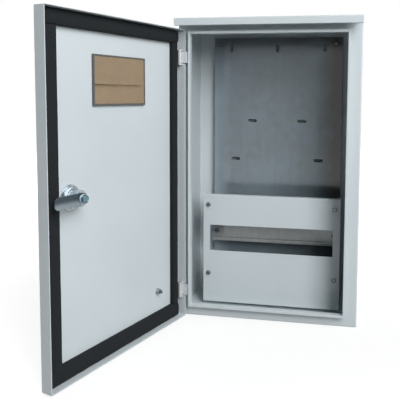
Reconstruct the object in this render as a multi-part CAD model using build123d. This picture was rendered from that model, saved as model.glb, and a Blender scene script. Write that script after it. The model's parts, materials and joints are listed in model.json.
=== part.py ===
from build123d import *
import os
from math import sqrt

# Sheet-steel meter cabinet hung on a wall, with its door standing open.
# X runs to the right, Y to the back, Z up. The origin is the middle of the four wall holes,
# on the outside of the back. All lengths are in millimetres, angles in degrees.

past = 1.0                 # how far a cut runs past the faces it opens

# Cabinet body
width = 300.0
height = 500.0
body_depth = 140.0
sheet = 1.2
bend_inside = 0.8          # inside radius of a folded edge
wall_hole_r = 3.5
wall_hole_span_x = 180.0
wall_hole_span_z = 380.0
knockout_r = 12.5
knockout_pitch = 70.0
knockout_groove = 0.6      # width and depth of the pressed ring

# Folded front: flange, upstand that meets the gasket, and rain visor
side_flange = 22.5
top_flange = 24.0
bottom_flange = 21.5
upstand = 9.5
rim_width = 4.2
visor_reach = 27.0
visor_lip = 12.0
visor_hem = 8.0            # folded back along the lip's lower edge

# Door, a folded pan
door_depth = 18.0
door_rim_gap = 2.0         # pan edge to cabinet flange when shut
door_top_gap = 5.0         # under the visor's lip
door_bottom_gap = 1.5
open_angle = 107.1
gasket_inset = 2.0         # outer edge, from the door's top and bottom
gasket_free_inset = 7.0    # outer edge on the lock side
gasket_hinge_inset = 9.0   # outer edge on the hinge side, clear of the hinges
gasket_inner = 22.0        # inner edge, from the outside of the door
gasket_inner_free = 28.5   # inner edge on the lock side
gasket_inner_low = 24.0    # inner edge along the bottom
gasket_round = 2.5
gasket_gap = 0.3           # gasket to upstand when shut

# Hinges: a fork on the door, a leaf on the cabinet, a loose pin
hinge_inset = 5.0          # pin axis from the door's outer side
hinge_reach = 10.0         # pin axis in front of the flange
hinge_end = 45.0           # hinge middle from the door's ends
hinge_pin_r = 2.0
pin_play = 0.05            # radial
knuckle_wall = 1.35
leaf_height = 18.6
leaf_side = 1.0            # leaf beyond the pin axis on the door's side
leaf_lip_gap = 0.8         # leaf to the upstand's lip
leaf_set_back = 0.9        # leaf behind the upstand's edge
leaf_round = 1.2
fork_cheek = 3.4
fork_web = 2.0
hinge_play = 0.3           # along the pin
notch_play = 1.2           # round the leaf in the door's edge
notch_clear = 1.0          # behind the knuckle
pin_overhang = 1.0

# Viewing window
window_from_top = 87.3     # middle of the window below the door's top edge
window_shift = 3.0         # middle of the window, to the hinge side of the door's middle
window_width = 106.0
window_height = 64.0
window_border = 2.0        # pane beyond the cut-out
pane_thick = 2.0
seal_thick = 0.8           # behind the pane and in front of it
seal_wall = 1.0            # round the pane's edge
seal_lip = 1.2             # over the pane's inner face
paper_thick = 0.4
paper_play = 0.3           # paper to the seal's lip
paper_split = 26.5         # seam above the paper's lower edge
paper_seam = 0.2

# Quarter-turn lock
lock_from_edge = 52.5
barrel_r = 11.0
lock_play = 0.15           # barrel in the door's hole
lock_head_r = 14.0
lock_head_thick = 4.0
plug_r = 7.0
plug_play = 0.05
tang = 8.0                 # square end of the plug
tang_play = 0.1
key_slot_width = 2.0
key_slot_length = 9.0
key_slot_depth = 6.0
lock_washer_r = 17.0
lock_washer_thick = 1.5
lock_nut_flats = 27.0
lock_nut_thick = 5.0
lock_nut_corner = 0.5      # turned off the corners
lock_nut_chamfer = 1.2
cam_width = 16.0
cam_thick = 3.0
cam_reach = 46.5
cam_clear = 0.8            # cam behind the flange when shut
cam_gap = 0.3              # cam to the end of the barrel
cam_bolt_flats = 10.0
cam_bolt_head = 4.0
cam_bolt_r = 3.0
cam_bolt_grip = 8.0
cam_washer_r = 7.0
cam_washer_thick = 1.2

# Mounting plate and what it stands on
plate_side_gap = 32.0      # plate to the outside of the cabinet
plate_top_gap = 18.0
plate_bottom_gap = 14.0
plate_thick = 1.5
plate_standoff = 11.3
plate_fix_inset = 12.0
stud_r = 2.5
stud_play = 0.1
stud_proud = 6.0
spacer_r = 5.0
nut_flats = 8.0
nut_thick = 4.0
meter_slot_length = 16.0
meter_slot_width = 5.5
meter_slot_top = 36.0      # hanging slots below the cabinet's top
hanging_pitch = 86.0
single_drop = 134.5        # lower slots below the hanging slots
single_pitch = 92.0
triple_drop = 206.0
triple_pitch = 154.0

# Cover panel on four posts
cover_side_gap = 29.7      # cover to the outside of the cabinet
cover_height = 194.0
cover_bottom = 7.0         # above the cabinet's bottom
cover_sheet = 1.2
cover_return = 10.0
cover_slot_width = 216.0   # twelve modules
cover_slot_height = 46.0
cover_slot_bottom = 93.5   # above the cover's lower edge
cover_screw_inset = 9.5    # from the cover's ends
cover_screw_low = 52.5     # above the cover's lower edge
cover_screw_top = 18.0     # below the cover's upper edge
post_flats = 8.0
post_nut_flats = 7.0
post_nut_thick = 3.2
post_tail = 7.0
cover_screw_r = 2.0
cover_screw_play = 0.3
cover_screw_head_r = 4.0
cover_screw_head = 2.6
cover_screw_grip = 9.0
screw_slot_width = 1.0
screw_slot_depth = 1.1
thread_play = 0.05

# DIN rail, hat section
rail_overhang = 9.0        # past each end of the cover's slot
rail_height = 35.0
rail_web = 25.0
rail_hat = 7.5
rail_thick = 1.0
rail_standoff = 17.5       # in front of the plate
rail_setback = 50.0        # behind the cover
rail_fix_inset = 9.0       # rail's fixing slots from the plate's sides
rail_slot_length = 10.0
rail_slot_width = 6.2
rail_screw_r = 2.5
rail_screw_head_r = 4.5
rail_screw_head = 3.0
rail_nut_flats = 8.0
rail_nut_thick = 4.0

# Earth studs in the cabinet and on the door
earth_inset = 17.0         # from the hinge side
earth_z = 36.0             # above the bottom
earth_length = 12.0
earth_washer_r = 5.0
earth_washer_thick = 1.0
door_earth_x = 58.0        # from the door's hinge side
door_earth_z = 57.0        # above the door's lower edge
door_earth_length = 9.0

# Planes and sizes that follow from the ones above
bend = bend_inside + sheet
x_side = width / 2
z_low = -height / 2
z_high = height / 2
y_front = -body_depth
y_inside = -sheet
rim_x = x_side - side_flange
rim_low = z_low + bottom_flange
rim_high = z_high - top_flange
y_rim = y_front - upstand
y_door_rim = y_front - door_rim_gap
y_skin = y_door_rim - door_depth
y_skin_in = y_skin + sheet
door_low = z_low + door_bottom_gap
door_high = z_high - visor_lip - door_top_gap
door_middle = (door_low + door_high) / 2
window_x = -window_shift
window_middle = door_high - window_from_top
hinge_x = -x_side + hinge_inset
hinge_y = y_front - hinge_reach
hinge_levels = {"upper": door_high - hinge_end, "lower": door_low + hinge_end}
knuckle_r = hinge_pin_r + pin_play + knuckle_wall
fork_half = leaf_height / 2 + hinge_play + fork_cheek
notch_depth = hinge_reach - door_rim_gap + knuckle_r + notch_clear
plate_width = width - 2 * plate_side_gap
y_plate = y_inside - plate_standoff - plate_thick
y_rail_back = y_plate - rail_standoff
y_rail = y_rail_back - rail_hat
y_cover = y_rail - rail_setback
y_cover_back = y_cover + cover_sheet
cover_width = width - 2 * cover_side_gap
cover_screw_span_x = cover_width - 2 * cover_screw_inset
rail_length = cover_slot_width + 2 * rail_overhang
cover_low = z_low + cover_bottom
cover_high = cover_low + cover_height
slot_low = cover_low + cover_slot_bottom
slot_middle = slot_low + cover_slot_height / 2
lock_x = x_side - lock_from_edge
y_cam = y_front + sheet + cam_clear
y_barrel_end = y_cam - cam_gap


def block(x0, x1, y0, y1, z0, z1):
    middle = Pos((x0 + x1) / 2, (y0 + y1) / 2, (z0 + z1) / 2)
    return middle * Box(abs(x1 - x0), abs(y1 - y0), abs(z1 - z0))


def rod_y(x, z, y0, y1, r):
    return Pos(x, (y0 + y1) / 2, z) * Rot(90, 0, 0) * Cylinder(r, abs(y1 - y0))


def rod_z(x, y, z0, z1, r):
    return Pos(x, y, (z0 + z1) / 2) * Cylinder(r, abs(z1 - z0))


def hex_y(x, z, y0, y1, flats):
    bar = extrude(RegularPolygon(flats / 2, 6, major_radius=False), abs(y1 - y0))
    return Pos(x, max(y0, y1), z) * Rot(90, 0, 0) * bar


def slot_y(x, z, y0, y1, length, across, upright=False):
    shape = extrude(SlotOverall(length, across, rotation=90 if upright else 0), abs(y1 - y0))
    return Pos(x, max(y0, y1), z) * Rot(90, 0, 0) * shape


def ring_frame(half_x, z0, z1, band, y0, y1):
    outer = block(-half_x - band, half_x + band, y0, y1, z0 - band, z1 + band)
    return outer - block(-half_x, half_x, y0 - past, y1 + past, z0, z1)


def corners(span_x, low, high):
    return [(x, z) for x in (-span_x / 2, span_x / 2) for z in (low, high)]


parts = {}
door_parts = {}


# Cabinet shell: one folded and welded sheet box with its front rim and visor
def cabinet_shell():
    body = block(-x_side, x_side, y_front, 0, z_low, z_high)
    body = fillet(body.edges(), bend)
    hollow = block(-x_side + sheet, x_side - sheet, y_front + sheet, y_inside, z_low + sheet, z_high - sheet)
    body -= fillet(hollow.edges(), bend - sheet)
    body -= block(-rim_x, rim_x, y_front - past, y_front + 2 * sheet, rim_low, rim_high)
    body += ring_frame(rim_x, rim_low, rim_high, sheet, y_rim, y_front + sheet)
    body += ring_frame(rim_x, rim_low, rim_high, rim_width, y_rim, y_rim + sheet)
    body += visor()
    for x, z in corners(wall_hole_span_x, -wall_hole_span_z / 2, wall_hole_span_z / 2):
        body -= rod_y(x, z, -2 * sheet, sheet, wall_hole_r)
    for step in (-1, 0, 1):
        x = step * knockout_pitch
        groove = rod_z(x, y_front / 2, z_low - sheet, z_low + knockout_groove, knockout_r)
        groove -= rod_z(x, y_front / 2, z_low - sheet, z_low + sheet, knockout_r - knockout_groove)
        body -= groove
    return body


# Visor: the top sheet carried forward over the door, folded down and hemmed
def visor():
    y_lip = y_front - visor_reach
    roof = block(-x_side, x_side, y_lip, y_front + bend + sheet, z_high - sheet, z_high)
    lip = block(-x_side, x_side, y_lip, y_lip + sheet, z_high - visor_lip, z_high)
    hem = block(-x_side, x_side, y_lip, y_lip + visor_hem, z_high - visor_lip, z_high - visor_lip + sheet)
    hood = roof + lip + hem
    fold = hood.edges().filter_by(Axis.X).sort_by(lambda e: e.center().Y - e.center().Z)[0]
    return fillet(fold, bend)


# Mounting plate with slots for hanging and screwing meters
def mounting_plate():
    low = z_low + plate_bottom_gap
    high = z_high - plate_top_gap
    plate = block(-plate_width / 2, plate_width / 2, y_plate, y_plate + plate_thick, low, high)
    front = y_plate - past
    back = y_plate + plate_thick + past
    hang_z = z_high - meter_slot_top
    for step in (-1, 0, 1):
        plate -= slot_y(step * hanging_pitch, hang_z, front, back, meter_slot_length, meter_slot_width, True)
    for drop, pitch in ((single_drop, single_pitch), (triple_drop, triple_pitch)):
        for side in (-1, 1):
            x = side * pitch / 2
            plate -= slot_y(x, hang_z - drop, front, back, meter_slot_length, meter_slot_width)
    for x, z in plate_fixings():
        plate -= rod_y(x, z, front, back, stud_r + stud_play)
    for x, z in cover_fixings():
        plate -= rod_y(x, z, front, back, cover_screw_r + stud_play)
    for x in rail_fixings():
        plate -= rod_y(x, slot_middle, front, back, rail_screw_r + stud_play)
    return plate


def plate_fixings():
    span = plate_width - 2 * plate_fix_inset
    low = z_low + plate_bottom_gap + plate_fix_inset
    high = z_high - plate_top_gap - plate_fix_inset
    return corners(span, low, high)


def cover_fixings():
    return corners(cover_screw_span_x, cover_low + cover_screw_low, cover_high - cover_screw_top)


def rail_fixings():
    outer = plate_width / 2 - rail_fix_inset
    return (-outer, outer)


def plate_supports():
    studs = []
    spacers = []
    nuts = []
    for x, z in plate_fixings():
        studs.append(rod_y(x, z, y_inside, y_plate - stud_proud, stud_r))
        sleeve = rod_y(x, z, y_inside, y_inside - plate_standoff, spacer_r)
        spacers.append(sleeve - rod_y(x, z, y_inside + past, y_plate - past, stud_r + stud_play))
        nut = hex_y(x, z, y_plate, y_plate - nut_thick, nut_flats)
        nuts.append(nut - rod_y(x, z, y_plate + past, y_plate - nut_thick - past, stud_r + thread_play))
    return studs, spacers, nuts


# Cover panel: folded at top and bottom, slotted for breakers, held by a screw into each post
def cover_panel():
    half = cover_width / 2
    panel = block(-half, half, y_cover, y_cover_back, cover_low, cover_high)
    for z0, z1 in ((cover_low, cover_low + cover_sheet), (cover_high - cover_sheet, cover_high)):
        panel += block(-half, half, y_cover, y_cover + cover_return, z0, z1)
    folds = panel.edges().filter_by(Axis.X).sort_by(Axis.Y)[:2]
    panel = fillet(folds, cover_sheet)
    slot_half = cover_slot_width / 2
    panel -= block(-slot_half, slot_half, y_cover - past, y_cover_back + past,
                   slot_low, slot_low + cover_slot_height)
    for x, z in cover_fixings():
        panel -= rod_y(x, z, y_cover - past, y_cover_back + past, cover_screw_r + cover_screw_play)
    return panel


def cover_supports():
    posts = []
    nuts = []
    screws = []
    bore_end = y_cover_back + cover_screw_grip + 2 * cover_screw_r
    y_behind = y_plate + plate_thick
    y_nut = y_behind + post_nut_thick
    for x, z in cover_fixings():
        post = hex_y(x, z, y_cover_back, y_plate, post_flats)
        post -= rod_y(x, z, y_cover_back - past, bore_end, cover_screw_r + thread_play)
        post += rod_y(x, z, y_plate, y_plate + post_tail, cover_screw_r)
        posts.append(post)
        nut = hex_y(x, z, y_behind, y_nut, post_nut_flats)
        nuts.append(nut - rod_y(x, z, y_behind - past, y_nut + past, cover_screw_r + thread_play))
        screws.append(slotted_screw(x, z, y_cover, y_cover_back + cover_screw_grip,
                                    cover_screw_r, cover_screw_head_r, cover_screw_head))
    return posts, nuts, screws


# Pan-head screw entering from the front, with a straight driver slot
def slotted_screw(x, z, y_seat, y_tip, r, head_r, head):
    cap = rod_y(x, z, y_seat, y_seat - head, head_r)
    crown = cap.edges().filter_by(GeomType.CIRCLE).sort_by(Axis.Y)[0]
    screw = fillet(crown, head / 2) + rod_y(x, z, y_seat, y_tip, r)
    y_top = y_seat - head
    half = screw_slot_width / 2
    cut = block(-head_r, head_r, y_top - past, y_top + screw_slot_depth, -half, half)
    return screw - Pos(x, 0, z) * cut


# DIN rail: hat section with a fixing slot at each end
def din_rail():
    y_web = y_rail_back - rail_thick
    half_h = rail_height / 2
    half_w = rail_web / 2
    y_lip = y_rail + rail_thick
    outline = [(y_rail, half_h), (y_rail, half_w - rail_thick), (y_web, half_w - rail_thick),
               (y_web, -half_w + rail_thick), (y_rail, -half_w + rail_thick), (y_rail, -half_h),
               (y_lip, -half_h), (y_lip, -half_w), (y_rail_back, -half_w), (y_rail_back, half_w),
               (y_lip, half_w), (y_lip, half_h)]
    section = Plane.YZ * make_face(Polyline(*outline, close=True))
    rail = Pos(0, 0, slot_middle) * extrude(section, rail_length / 2, both=True)
    for x in rail_fixings():
        rail -= slot_y(x, slot_middle, y_web - past, y_rail_back + past, rail_slot_length, rail_slot_width)
    return rail


def rail_supports():
    spacers = []
    screws = []
    nuts = []
    y_web = y_rail_back - rail_thick
    y_behind = y_plate + plate_thick
    y_nut = y_behind + rail_nut_thick
    for x in rail_fixings():
        sleeve = rod_y(x, slot_middle, y_rail_back, y_plate, spacer_r)
        bore = rod_y(x, slot_middle, y_rail_back - past, y_plate + past, rail_screw_r + stud_play)
        spacers.append(sleeve - bore)
        screws.append(slotted_screw(x, slot_middle, y_web, y_nut + thread_play,
                                    rail_screw_r, rail_screw_head_r, rail_screw_head))
        nut = hex_y(x, slot_middle, y_behind, y_nut, rail_nut_flats)
        nuts.append(nut - rod_y(x, slot_middle, y_behind - past, y_nut + past, rail_screw_r + thread_play))
    return spacers, screws, nuts


# Earth stud with its washer and nut, standing towards the back (way 1) or the front (way -1)
def earth_pieces(x, z, y_wall, length, way):
    y_nut = y_wall + way * earth_washer_thick
    y_end = y_nut + way * nut_thick
    stud = rod_y(x, z, y_wall, y_wall + way * length, stud_r)
    washer = rod_y(x, z, y_wall, y_nut, earth_washer_r)
    washer -= rod_y(x, z, y_wall - way * past, y_nut + way * past, stud_r + stud_play)
    nut = hex_y(x, z, y_nut, y_end, nut_flats)
    nut -= rod_y(x, z, y_nut - way * past, y_end + way * past, stud_r + thread_play)
    return stud, washer, nut


# On the back of the cabinet beside the plate, and on the inside of the door
def cabinet_earth():
    return earth_pieces(-x_side + earth_inset, z_low + earth_z, y_inside, earth_length, -1)


def door_earth():
    return earth_pieces(-x_side + door_earth_x, door_low + door_earth_z, y_skin_in, door_earth_length, 1)


# Cabinet half of a hinge: a knuckle on a block that is welded to the flange beside the upstand
def cabinet_leaf(level):
    z0 = level - leaf_height / 2
    z1 = level + leaf_height / 2
    x_end = -rim_x - rim_width - leaf_lip_gap
    foot = block(hinge_x - leaf_side, x_end, y_rim + leaf_set_back, y_front, z0, z1)
    corner = foot.edges().filter_by(Axis.Z).sort_by(lambda e: e.center().X - e.center().Y)[-1]
    leaf = fillet(corner, leaf_round) + rod_z(hinge_x, hinge_y, z0, z1, knuckle_r)
    return leaf - rod_z(hinge_x, hinge_y, z0 - past, z1 + past, hinge_pin_r + pin_play)


# Door half of a hinge: two cheeks on a web that is welded inside the door's edge
def hinge_fork(level):
    x_return = -x_side + sheet
    y_notch = y_door_rim - notch_depth
    z0 = level - fork_half
    z1 = level + fork_half
    web = block(x_return, x_return + fork_web, y_skin_in, y_notch, z0, z1)
    cheek = block(x_return, hinge_x, y_skin_in, hinge_y + knuckle_r, z0, z1)
    cheek += rod_z(hinge_x, hinge_y, z0, z1, knuckle_r)
    gap = leaf_height / 2 + hinge_play
    reach = 2 * knuckle_r + hinge_inset
    cheek -= block(hinge_x - reach, hinge_x + reach, y_skin, y_front, level - gap, level + gap)
    fork = web + cheek
    return fork - rod_z(hinge_x, hinge_y, z0 - past, z1 + past, hinge_pin_r + pin_play)


def hinge_pin(level):
    reach = fork_half + pin_overhang
    pin = rod_z(hinge_x, hinge_y, level - reach, level + reach, hinge_pin_r)
    return chamfer(pin.edges().filter_by(GeomType.CIRCLE), pin_overhang / 2)


# Door panel: a folded pan, notched at the hinges, with holes for the window and the lock
def door_panel():
    pan = block(-x_side, x_side, y_skin, y_door_rim, door_low, door_high)
    folded = pan.edges().filter_by(Axis.Y) + pan.edges().group_by(Axis.Y)[0]
    pan = fillet(folded, bend)
    hollow = block(-x_side + sheet, x_side - sheet, y_skin_in, y_door_rim + past,
                   door_low + sheet, door_high - sheet)
    pan -= hollow
    half = leaf_height / 2 + notch_play
    for level in hinge_levels.values():
        y_notch = y_door_rim - notch_depth
        pan -= block(-x_side - past, -x_side + sheet, y_notch, y_door_rim + past, level - half, level + half)
    opening = block(-window_width / 2, window_width / 2, y_skin - past, y_skin_in + past,
                    -window_height / 2, window_height / 2)
    pan -= Pos(window_x, 0, window_middle) * opening
    return pan - rod_y(lock_x, door_middle, y_skin - past, y_skin_in + past, barrel_r + lock_play)


# Gasket: a wide foam frame inside the door that the cabinet's upstand meets
def door_gasket():
    face = y_rim - gasket_gap
    frame = block(-x_side + gasket_hinge_inset, x_side - gasket_free_inset, y_skin_in, face,
                  door_low + gasket_inset, door_high - gasket_inset)
    frame -= block(-x_side + gasket_inner, x_side - gasket_inner_free, y_skin_in - past, face + past,
                   door_low + gasket_inner_low, door_high - gasket_inner)
    return fillet(frame.edges().group_by(Axis.Y)[-1], gasket_round)


# Window: a seal channel round a clear pane, and two strips of protective paper on the inside
def window_pieces():
    half_x = window_width / 2 + window_border
    half_z = window_height / 2 + window_border
    y_pane = y_skin_in + seal_thick
    y_paper = y_pane + pane_thick
    seal = block(-half_x - seal_wall, half_x + seal_wall, y_skin_in, y_paper + seal_thick,
                 -half_z - seal_wall, half_z + seal_wall)
    pane = block(-half_x, half_x, y_pane, y_paper, -half_z, half_z)
    seal -= pane
    seal -= block(-window_width / 2, window_width / 2, y_skin_in - past, y_pane + past,
                  -window_height / 2, window_height / 2)
    lip_x = half_x - seal_lip
    lip_z = half_z - seal_lip
    seal -= block(-lip_x, lip_x, y_pane, y_paper + seal_thick + past, -lip_z, lip_z)
    paper_x = lip_x - paper_play
    paper_low = -lip_z + paper_play
    paper_high = lip_z - paper_play
    seam = paper_low + paper_split
    y_end = y_paper + paper_thick
    lower = block(-paper_x, paper_x, y_paper, y_end, paper_low, seam - paper_seam / 2)
    upper = block(-paper_x, paper_x, y_paper, y_end, seam + paper_seam / 2, paper_high)
    place = Pos(window_x, 0, window_middle)
    return [place * piece for piece in (seal, pane, upper, lower)]


# Lock: barrel through the door with a nut inside, and the plug that turns the cam
def lock_body():
    z = door_middle
    body = rod_y(lock_x, z, y_skin - lock_head_thick, y_skin, lock_head_r)
    rim = body.edges().filter_by(GeomType.CIRCLE).sort_by(Axis.Y)[0]
    body = fillet(rim, lock_head_thick / 3) + rod_y(lock_x, z, y_skin, y_barrel_end, barrel_r)
    return body - rod_y(lock_x, z, y_skin - lock_head_thick - past, y_barrel_end + past, plug_r + plug_play)


def lock_fixings():
    z = door_middle
    y_nut = y_skin_in + lock_washer_thick
    y_end = y_nut + lock_nut_thick
    bore = rod_y(lock_x, z, y_skin_in - past, y_end + past, barrel_r + stud_play)
    washer = rod_y(lock_x, z, y_skin_in, y_nut, lock_washer_r) - bore
    nut = hex_y(lock_x, z, y_nut, y_end, lock_nut_flats)
    dome = rod_y(lock_x, z, y_nut, y_end, lock_nut_flats / sqrt(3) - lock_nut_corner)
    dome = chamfer(dome.edges().filter_by(GeomType.CIRCLE).sort_by(Axis.Y)[-1], lock_nut_chamfer)
    return washer, (nut & dome) - bore


def latch_pieces():
    z = door_middle
    y_head = y_skin - lock_head_thick
    y_cam_back = y_cam + cam_thick
    y_washer = y_cam_back + cam_washer_thick
    y_bolt = y_washer + cam_bolt_head
    half = tang / 2
    plug = rod_y(lock_x, z, y_head, y_cam, plug_r)
    plug += block(lock_x - half, lock_x + half, y_cam, y_cam_back, z - half, z + half)
    plug -= rod_y(lock_x, z, y_cam_back - cam_bolt_grip, y_cam_back + past, cam_bolt_r + thread_play)
    key_x = key_slot_width / 2
    key_z = key_slot_length / 2
    plug -= block(lock_x - key_x, lock_x + key_x, y_head - past, y_head + key_slot_depth,
                  z - key_z, z + key_z)
    tip = lock_x + cam_reach
    cam = block(lock_x, tip, y_cam, y_cam_back, z - cam_width / 2, z + cam_width / 2)
    cam = fillet(cam.edges().filter_by(Axis.Y).group_by(Axis.X)[-1], cam_width / 4)
    cam += rod_y(lock_x, z, y_cam, y_cam_back, cam_width / 2)
    hole = half + tang_play
    cam -= block(lock_x - hole, lock_x + hole, y_cam - past, y_cam_back + past, z - hole, z + hole)
    washer = rod_y(lock_x, z, y_cam_back, y_washer, cam_washer_r)
    washer -= rod_y(lock_x, z, y_cam_back - past, y_washer + past, cam_bolt_r + stud_play)
    bolt = hex_y(lock_x, z, y_washer, y_bolt, cam_bolt_flats)
    bolt += rod_y(lock_x, z, y_cam_back - cam_bolt_grip + past, y_washer, cam_bolt_r)
    return plug, cam, bolt, washer


parts["cabinet_shell"] = cabinet_shell()
parts["mounting_plate"] = mounting_plate()
parts["plate_studs"], parts["plate_spacers"], parts["plate_nuts"] = plate_supports()
parts["cover_panel"] = cover_panel()
parts["cover_posts"], parts["post_nuts"], parts["cover_screws"] = cover_supports()
parts["din_rail"] = din_rail()
parts["rail_spacers"], parts["rail_screws"], parts["rail_nuts"] = rail_supports()
parts["earth_stud"], parts["earth_washer"], parts["earth_nut"] = cabinet_earth()

door_parts["door_panel"] = door_panel()
door_parts["door_gasket"] = door_gasket()
door_parts.update(zip(("window_seal", "window_pane", "upper_paper", "lower_paper"), window_pieces()))
door_parts["door_earth_stud"], door_parts["door_earth_washer"], door_parts["door_earth_nut"] = door_earth()
door_parts["lock_body"] = lock_body()
door_parts["lock_washer"], door_parts["lock_nut"] = lock_fixings()
door_parts.update(zip(("lock_plug", "lock_cam", "cam_bolt", "cam_washer"), latch_pieces()))

for place, level in hinge_levels.items():
    parts[place + "_cabinet_leaf"] = cabinet_leaf(level)
    door_parts[place + "_hinge_fork"] = hinge_fork(level)
    door_parts[place + "_hinge_pin"] = hinge_pin(level)

# The door is drawn shut and then swung open to the left about the hinge pins
hinge_line = Axis((hinge_x, hinge_y, 0), (0, 0, 1))
for name, solid in door_parts.items():
    parts[name] = solid.rotate(hinge_line, -open_angle)

os.makedirs("parts", exist_ok=True)
for name, shape in parts.items():
    solids = shape if isinstance(shape, list) else [shape]
    export_step(Compound(children=[Solid(s.solid().wrapped) for s in solids]), f"parts/{name}.step")
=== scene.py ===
import json
import math

import bmesh
import bpy
from mathutils import Matrix, Vector
from mathutils.bvhtree import BVHTree


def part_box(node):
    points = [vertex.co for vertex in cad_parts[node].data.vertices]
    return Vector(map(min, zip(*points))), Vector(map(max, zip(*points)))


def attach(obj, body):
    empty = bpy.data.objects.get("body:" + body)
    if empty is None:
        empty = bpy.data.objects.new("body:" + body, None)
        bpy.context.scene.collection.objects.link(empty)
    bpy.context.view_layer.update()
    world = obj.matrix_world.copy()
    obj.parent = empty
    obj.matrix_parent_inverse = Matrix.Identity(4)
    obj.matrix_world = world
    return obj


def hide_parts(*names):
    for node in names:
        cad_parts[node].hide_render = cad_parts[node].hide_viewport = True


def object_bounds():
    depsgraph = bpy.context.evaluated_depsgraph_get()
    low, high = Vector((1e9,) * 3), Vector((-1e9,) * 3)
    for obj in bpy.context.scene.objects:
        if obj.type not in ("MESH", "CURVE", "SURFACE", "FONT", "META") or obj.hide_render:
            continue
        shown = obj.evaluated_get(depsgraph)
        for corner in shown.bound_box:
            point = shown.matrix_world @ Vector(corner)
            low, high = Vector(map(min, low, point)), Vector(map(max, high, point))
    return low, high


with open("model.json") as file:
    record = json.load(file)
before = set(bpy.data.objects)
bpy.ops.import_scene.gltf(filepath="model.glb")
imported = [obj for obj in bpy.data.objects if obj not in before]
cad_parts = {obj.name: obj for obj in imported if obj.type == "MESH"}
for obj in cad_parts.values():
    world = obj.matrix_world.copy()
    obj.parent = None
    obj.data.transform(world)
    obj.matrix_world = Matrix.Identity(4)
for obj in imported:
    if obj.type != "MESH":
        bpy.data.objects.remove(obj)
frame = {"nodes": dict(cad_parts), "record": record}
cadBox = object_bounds()
record = frame["record"]
bodyOf = {node: body for body, nodes in record["behaviour"]["bodies"].items() for node in nodes}
slotOf = {row["node"]: row["material_slot"] for row in record["subparts"]}
jointRow = {row["name"]: row for row in record["behaviour"]["joints"]}
print("frame loaded:", len(bodyOf), "nodes")

# the door is worked on shut, then swung to where it stands open
hingeAt = Vector(jointRow["door_hinge"]["pos_m"])
openAngle = math.radians(-jointRow["door_hinge"]["range_deg"][0])
swingOpen = Matrix.Translation(hingeAt) @ Matrix.Rotation(-openAngle, 4, "Z") @ Matrix.Translation(-hingeAt)
swingShut = swingOpen.inverted()
onDoor = ("door", "latch")
samePoint = 1e-6  # points closer than this are one


# mesh helpers

def shutPoints(node):
    turn = swingShut if bodyOf[node] in onDoor else Matrix()
    return [turn @ v.co for v in frame["nodes"][node].data.vertices]


def boxOf(points):
    low = Vector([min(p[i] for p in points) for i in range(3)])
    high = Vector([max(p[i] for p in points) for i in range(3)])
    return low, high


def shutBox(node):
    return boxOf(shutPoints(node))


def solidBoxes(node):  # one box for each separate solid of a node, with the door shut
    bm = bmesh.new()
    bm.from_mesh(frame["nodes"][node].data)
    if bodyOf[node] in onDoor:
        bm.transform(swingShut)
    bmesh.ops.remove_doubles(bm, verts=bm.verts, dist=samePoint)
    left = set(bm.verts)
    boxes = []
    while left:
        island = [left.pop()]
        for vert in island:
            for edge in vert.link_edges:
                other = edge.other_vert(vert)
                if other in left:
                    left.remove(other)
                    island.append(other)
        boxes.append(boxOf([v.co for v in island]))
    bm.free()
    return sorted(boxes, key=lambda box: [round(c, 5) for c in box[0]])  # the same order each run


def meshFrom(bm, name):
    mesh = bpy.data.meshes.new(name)
    bm.to_mesh(mesh)
    bm.free()
    return mesh


def bakeModifiers(obj):  # the modifiers' result becomes the plain mesh
    graph = bpy.context.evaluated_depsgraph_get()
    mesh = bpy.data.meshes.new_from_object(obj.evaluated_get(graph))
    obj.modifiers.clear()
    obj.data = mesh
    return obj


def shadeByAngle(mesh, degrees):
    mesh.shade_smooth()
    mesh.set_sharp_from_angle(angle=math.radians(degrees))


def looseObject(name, data):
    obj = bpy.data.objects.new(name, data)
    bpy.context.scene.collection.objects.link(obj)
    return obj


def settlePiece(obj, nodes, finish):  # rides on the nodes' body, stands for them, wears the finish
    obj.data.materials.clear()
    obj.data.materials.append(finish)
    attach(obj, bodyOf[nodes[0]])
    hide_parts(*nodes)
    return obj


# node helpers

def startFinish(name):
    finish = bpy.data.materials.new(name)
    finish.use_nodes = True
    tree = finish.node_tree
    shader = tree.nodes["Principled BSDF"]
    where = tree.nodes.new("ShaderNodeTexCoord").outputs["Object"]
    return finish, tree, shader, where


def mathOn(tree, operation, *values):  # sockets are linked, numbers are set
    step = tree.nodes.new("ShaderNodeMath")
    step.operation = operation
    for socket, value in zip(step.inputs, values):
        if isinstance(value, (int, float)):
            socket.default_value = value
        else:
            tree.links.new(value, socket)
    return step.outputs[0]


def summed(tree, first, second, weight):  # first + second * weight
    return mathOn(tree, "MULTIPLY_ADD", second, weight, first)


def placeOn(tree, where):
    place = tree.nodes.new("ShaderNodeSeparateXYZ")
    tree.links.new(where, place.inputs[0])
    return place.outputs


def stretched(tree, where, scale, turn=(0, 0, 0)):
    mapping = tree.nodes.new("ShaderNodeMapping")
    mapping.inputs["Scale"].default_value = scale
    mapping.inputs["Rotation"].default_value = turn
    tree.links.new(where, mapping.inputs["Vector"])
    return mapping.outputs["Vector"]


def noiseOn(tree, where, scale, detail=4.0, rough=0.55):
    noise = tree.nodes.new("ShaderNodeTexNoise")
    noise.inputs["Scale"].default_value = scale
    noise.inputs["Detail"].default_value = detail
    noise.inputs["Roughness"].default_value = rough
    tree.links.new(where, noise.inputs["Vector"])
    return noise.outputs["Fac"]


def cellsOn(tree, where, scale, output):
    cells = tree.nodes.new("ShaderNodeTexVoronoi")
    cells.inputs["Scale"].default_value = scale
    tree.links.new(where, cells.inputs["Vector"])
    return cells.outputs[output]


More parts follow.
